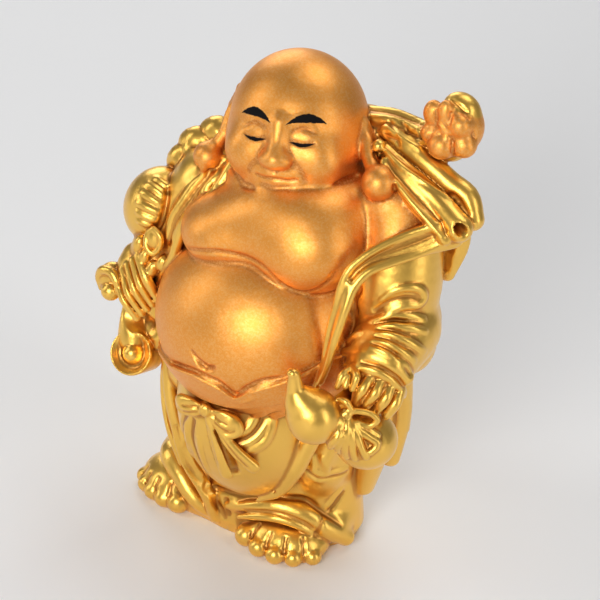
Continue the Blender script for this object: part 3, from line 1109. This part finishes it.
mesh = bpy.data.meshes.new("casting")
mesh.from_pydata(in_metres(points).tolist(), [], quads.tolist())
mesh.update()
casting = bpy.data.objects.new("casting", mesh)
bpy.context.collection.objects.link(casting)
thin = casting.modifiers.new("thin", "DECIMATE")
thin.ratio = FACES / (2 * len(quads))
evaluated = casting.evaluated_get(bpy.context.evaluated_depsgraph_get())
thinned = bpy.data.meshes.new_from_object(evaluated)
casting.modifiers.clear()
casting.data = thinned
thinned.polygons.foreach_set("use_smooth", np.ones(len(thinned.polygons), bool))
print("triangles", sum(len(p.vertices) - 2 for p in thinned.polygons))

# %% [markdown]
# ## Masks for the paint
# The paint needs to know two things about each point: whether it is bare or clothed, and how deep it lies in
# a groove. The first is read from the block. The second is the distance there less its mean over a small cube
# round it, which is positive in a hollow. A cube that reaches 3 grid points each way finds creases, and one
# of 7 finds the deep places between forms.

# %% Masks
def blurred(volume, reach):
    """The mean over a cube of the block, by running sums along each axis in turn."""
    result = volume
    for axis in range(3):
        padded = np.concatenate([np.take(result, [0] * (reach + 1), axis), result,
                                 np.take(result, [-1] * reach, axis)], axis)
        sums = np.cumsum(padded, axis, dtype=np.float64)
        size = volume.shape[axis]
        low = np.take(sums, np.arange(size), axis)
        high = np.take(sums, np.arange(size) + 2 * reach + 1, axis)
        result = ((high - low) / (2 * reach + 1)).astype(np.float32)
    return result


places = np.empty(3 * len(thinned.vertices))
thinned.vertices.foreach_get("co", places)
places = places.reshape(-1, 3) / UNIT + MIDDLE
near = np.clip(clay, -4, 4)
masks = {"bare": sample(bare, places)}
for name, reach, full in (("hollow", 3, 0.5), ("deep", 7, 1.8)):
    masks[name] = np.clip(sample(near - blurred(near, reach), places) / (GRAIN * full), -1, 1)
for name, values in masks.items():
    thinned.attributes.new(name, "FLOAT", "POINT").data.foreach_set("value", values.astype(np.float32))
    print(name, "from", round(float(values.min()), 2), "to", round(float(values.max()), 2))

# %% [markdown]
# ## A bench for materials
# A material is a graph of nodes. Making and joining each node takes several lines, so a few helpers shorten
# that: each adds one node, takes numbers or other nodes' outputs as its inputs, and returns its own output.

# %% Material helpers
def material(name):
    """A new material, its shader, and helpers that add nodes to it and return their outputs."""
    made = bpy.data.materials.new(name)
    made.use_nodes = True
    nodes, links = made.node_tree.nodes, made.node_tree.links
    shader = nodes["Principled BSDF"]

    def put(socket, value):
        """Joins a socket to another node's output, or sets it to a number."""
        if isinstance(value, bpy.types.NodeSocket):
            links.new(value, socket)
        else:
            socket.default_value = value

    def node(kind, output=0, settings=None, **inputs):
        """Adds a node. An input goes by its name, with _ for a space, or by its number as i0, i1 and so
        on."""
        new = nodes.new(kind)
        for key, value in (settings or {}).items():
            setattr(new, key, value)
        for key, value in inputs.items():
            put(new.inputs[int(key[1:]) if key[1:].isdigit() else key.replace("_", " ")], value)
        return new.outputs[output]

    def calc(operation, a, b=0.0, c=0.0):
        """Arithmetic on up to three values."""
        return node("ShaderNodeMath", settings={"operation": operation}, i0=a, i1=b, i2=c)

    def mixed(share, a, b):
        """The colour a where the share is 0, b where it is 1."""
        return node("ShaderNodeMix", 2, {"data_type": "RGBA"}, Factor=share, i6=a, i7=b)

    def step(value, low, high):
        """Goes softly from 0 to 1 as the value goes from low to high."""
        return node("ShaderNodeMapRange", settings={"interpolation_type": "SMOOTHSTEP"}, Value=value,
                    From_Min=low, From_Max=high)

    def mask(attribute):
        """One of the masks that the mesh carries."""
        return node("ShaderNodeAttribute", 2, {"attribute_name": attribute})

    return made, shader, put, node, calc, mixed, step, mask


# %% [markdown]
# ## Gold paint
# Two finishes share one material. Cloth, hands and feet have a glossy yellow gold. Bare skin has a satin,
# more orange gold, in which the metal flakes show as sparkle. Paint gathers darker and redder in the grooves.

# %% Paint
YELLOW = (0.93, 0.55, 0.10, 1)
ORANGE = (0.92, 0.37, 0.055, 1)
GROOVE = (0.50, 0.13, 0.015, 1)
SHADE = (0.30, 0.11, 0.012, 1)
GLINT = (1, 0.66, 0.26, 1)
FLAKE = 0.0002
gold, shader, put, node, calc, mixed, step, mask = material("gold_paint")
SPOTS = node("ShaderNodeTexCoord", "Object")
skin_share = step(mask("bare"), 0.35, 0.65)
colour = mixed(skin_share, YELLOW, ORANGE)
colour = mixed(calc("MULTIPLY", step(mask("hollow"), 0.12, 0.75), 0.55), colour, GROOVE)
in_cloth = calc("MULTIPLY_ADD", skin_share, -0.35, 0.6)
colour = mixed(calc("MULTIPLY", step(mask("deep"), 0.15, 1.1), in_cloth), colour, SHADE)
flakes = node("ShaderNodeTexVoronoi", "Color", Vector=SPOTS, Scale=1 / FLAKE)
bright = node("ShaderNodeSeparateColor", 0, Color=flakes)
sparkle = calc("MULTIPLY", step(bright, 0.2, 1.0), skin_share)
colour = mixed(calc("MULTIPLY", sparkle, 0.3), colour, GLINT)
print("flakes in millimetres", FLAKE * 1000)

# %% [markdown]
# ## Painted brows and eyes
# Brows and lash lines are brushed on in black. Their places are worked out in the head's own directions, so
# that the edge of the paint is as sharp as the picture allows and does not depend on how fine the mesh is.

# %% Brows
BLACK = (0.006, 0.005, 0.005, 1)
from_head = node("ShaderNodeVectorMath", settings={"operation": "SUBTRACT"}, i0=SPOTS,
                 i1=tuple(in_metres(HEAD_CENTRE)))


def along_head(n):
    """How far a spot is from the head's centre along its side, back or up direction, in hundredths."""
    dot = node("ShaderNodeVectorMath", 1, {"operation": "DOT_PRODUCT"}, i0=from_head,
               i1=tuple(HEAD_AXES[:, n]))
    return calc("DIVIDE", dot, UNIT)


ragged = node("ShaderNodeTexNoise", 0, Vector=SPOTS, Scale=1800, Detail=2)
aside, behind, above = calc("ABSOLUTE", along_head(0)), along_head(1), along_head(2)
above = calc("ADD", above, calc("MULTIPLY_ADD", ragged, 0.3, -0.15))


def brushed(middle, height, bend, half, thick):
    """A curved stroke that tapers to both ends: a parabola's height is taken from the spot's own height, and
    the result is compared with a thickness that shrinks to nothing at half the stroke's length each way."""
    off = calc("SUBTRACT", aside, middle)
    level = calc("MULTIPLY_ADD", calc("MULTIPLY", off, off), bend, height)
    taper = calc("SUBTRACT", 1, calc("POWER", calc("ABSOLUTE", calc("DIVIDE", off, half)), 2.0))
    room = calc("SUBTRACT", calc("MULTIPLY", taper, thick), calc("ABSOLUTE", calc("SUBTRACT", above, level)))
    return step(room, -0.05, 0.08)


brow = brushed(middle=4.6, height=4.4, bend=-0.11, half=3.3, thick=0.72)
lash = brushed(middle=4.35, height=-0.2, bend=0.09, half=2.3, thick=0.34)
front = step(behind, -5, -6)
black = calc("MULTIPLY", calc("MAXIMUM", brow, lash), front)
colour = mixed(black, colour, BLACK)
print("brows and lash lines added, nodes so far", len(gold.node_tree.nodes))

# %% [markdown]
# ## Sheen and unevenness
# The paint is thick and waves a little, and on the skin the flakes stand up as a fine grain. The waves are
# too shallow to change the outline and the flakes are smaller than the mesh's triangles, so both are bumps in
# the material. Black paint is matt and not metal, so it takes the metal and most of the gloss away again.

# %% Sheen
rough = calc("MULTIPLY_ADD", skin_share, 0.12, 0.35)
uneven = node("ShaderNodeTexNoise", 0, Vector=SPOTS, Scale=420, Detail=3)
wavy = node("ShaderNodeBump", 0, Height=uneven, Strength=0.35, Distance=0.00025)
grain = node("ShaderNodeTexNoise", 0, Vector=SPOTS, Scale=2600, Detail=3)
facet = calc("MULTIPLY_ADD", bright, calc("MULTIPLY_ADD", skin_share, 0.8, 0.2), calc("MULTIPLY", grain, 0.5))
bump = node("ShaderNodeBump", 0, Height=facet, Normal=wavy, Strength=0.16, Distance=0.00006)
put(shader.inputs["Base Color"], colour)
put(shader.inputs["Metallic"], calc("MULTIPLY_ADD", black, -0.95, 0.95))
put(shader.inputs["Roughness"], calc("MULTIPLY_ADD", black, 0.25, rough))
put(shader.inputs["Normal"], bump)
put(shader.inputs["Specular IOR Level"], calc("MULTIPLY_ADD", black, -0.4, 0.5))
put(shader.inputs["Coat Weight"], calc("MULTIPLY_ADD", black, -0.3, 0.3))
put(shader.inputs["Coat Roughness"], calc("MULTIPLY_ADD", skin_share, 0.25, 0.2))
thinned.materials.append(gold)
print("nodes in the gold paint", len(gold.node_tree.nodes))

# %% [markdown]
# ## Into the frame
# The casting moves with the part's one body, takes the place of the faceted solid, and has the paint's slot.

# %% Ride
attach(casting, "root")
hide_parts("figure")
print("casting rides on root")

# %% [markdown]
# ## Paper sweep
# The figure stands on pale paper that curves up behind it, as in a small studio. A curve between floor and
# wall leaves no edge in the picture.

# %% Floor
def plain(name, colour, roughness):
    """A material of one colour."""
    made, shader, put, *_ = material(name)
    put(shader.inputs["Base Color"], colour)
    put(shader.inputs["Roughness"], roughness)
    return made


def sweep():
    """A floor that turns up into a wall: one outline, drawn wide along a level line."""
    in_front, behind, bend, tall, half_wide = 0.9, 0.45, 0.35, 1.6, 1.6
    turn = np.linspace(0, math.pi / 2, 13)
    arc = np.stack([behind + bend * np.sin(turn), bend - bend * np.cos(turn)], 1)
    outline = np.concatenate([[(-in_front, 0)], arc, [(behind + bend, tall)]])
    across = np.array([-half_wide, half_wide])
    grid = np.stack([np.repeat(across, len(outline)), np.tile(outline[:, 0], 2), np.tile(outline[:, 1], 2)],
                    1)
    n = np.arange(len(outline) - 1)
    faces = np.stack([n, n + len(outline), n + len(outline) + 1, n + 1], 1)
    mesh = bpy.data.meshes.new("floor")
    mesh.from_pydata(grid.tolist(), [], faces.tolist())
    mesh.polygons.foreach_set("use_smooth", np.ones(len(faces), bool))
    mesh.materials.append(plain("paper", (0.9, 0.9, 0.9, 1), 0.8))
    floor = bpy.data.objects.new("floor", mesh)
    bpy.context.collection.objects.link(floor)
    return floor


floor = sweep()
print("floor across in metres", round(floor.dimensions.x, 2))

# %% [markdown]
# ## Lights
# Gold shows what is round it more than its own colour, so the lights are large and there is some darker room
# between them for the folds to show against. The key stands near the camera, two tall lights graze the sides,
# and two more give the head and the back an edge.

# %% Lights
CHEST = Vector((0, 0, 0.05))


def softbox(name, place, size, power):
    """A rectangular light of a width and height in metres, turned towards the figure's chest."""
    lamp = bpy.data.lights.new(name, "AREA")
    lamp.shape, lamp.size, lamp.size_y, lamp.energy = "RECTANGLE", size[0], size[1], power
    light = bpy.data.objects.new(name, lamp)
    light.location = place
    light.rotation_euler = (CHEST - Vector(place)).to_track_quat("-Z", "Y").to_euler()
    bpy.context.collection.objects.link(light)


softbox("key", (0.0, -0.46, 0.25), (0.22, 0.22), 1.35)
softbox("fill", (0.45, -0.1, 0.2), (0.12, 0.4), 0.5)
softbox("side", (-0.42, -0.15, 0.25), (0.12, 0.4), 0.5)
softbox("top", (0.1, 0.2, 0.5), (0.3, 0.3), 0.7)
softbox("back", (-0.3, 0.4, 0.3), (0.3, 0.3), 0.7)
world = bpy.data.worlds.new("room")
world.use_nodes = True
room = world.node_tree.nodes["Background"]
room.inputs["Color"].default_value = (0.8, 0.8, 0.82, 1)
room.inputs["Strength"].default_value = 0.2
bpy.context.scene.world = world
print("lights", len(bpy.data.lights))

# %% [markdown]
# ## Camera
# The picture looks down on the figure from its left front with a long lens. The camera turns a little about
# its own view, so that the figure leans in the picture as it does in the photograph. The lens is shifted
# until the spot AIM falls on the pixel AIM_PIXEL, which moves the figure in the picture without turning the
# camera.

# %% Camera
AROUND, ABOVE, LEAN = (math.radians(v) for v in (22, 33, 3))
AIM, AIM_PIXEL = Vector(in_metres(np.array([0.0, 0.0, 48.0]))), (275, 308)
AWAY, PIXELS_A_UNIT = 450, 5.35
PICTURE, SENSOR = 600, 36
back = Vector((math.sin(AROUND) * math.cos(ABOVE), -math.cos(AROUND) * math.cos(ABOVE), math.sin(ABOVE)))
right = Vector((math.cos(AROUND), math.sin(AROUND), 0))
up = back.cross(right)
right, up = right * math.cos(LEAN) + up * math.sin(LEAN), up * math.cos(LEAN) - right * math.sin(LEAN)
lens = bpy.data.cameras.new("camera")
lens.sensor_width = SENSOR
lens.lens = SENSOR * PIXELS_A_UNIT * AWAY / PICTURE
lens.shift_x = (PICTURE / 2 - AIM_PIXEL[0]) / PICTURE
lens.shift_y = (AIM_PIXEL[1] - PICTURE / 2) / PICTURE
lens.clip_start, lens.clip_end = 0.01, 10
camera = bpy.data.objects.new("camera", lens)
camera.matrix_world = Matrix((right, up, back)).transposed().to_4x4()
camera.location = AIM + back * (AWAY * UNIT)
bpy.context.collection.objects.link(camera)
bpy.context.scene.camera = camera
bpy.context.scene.view_settings.view_transform = "Standard"
print("lens in millimetres", round(lens.lens))
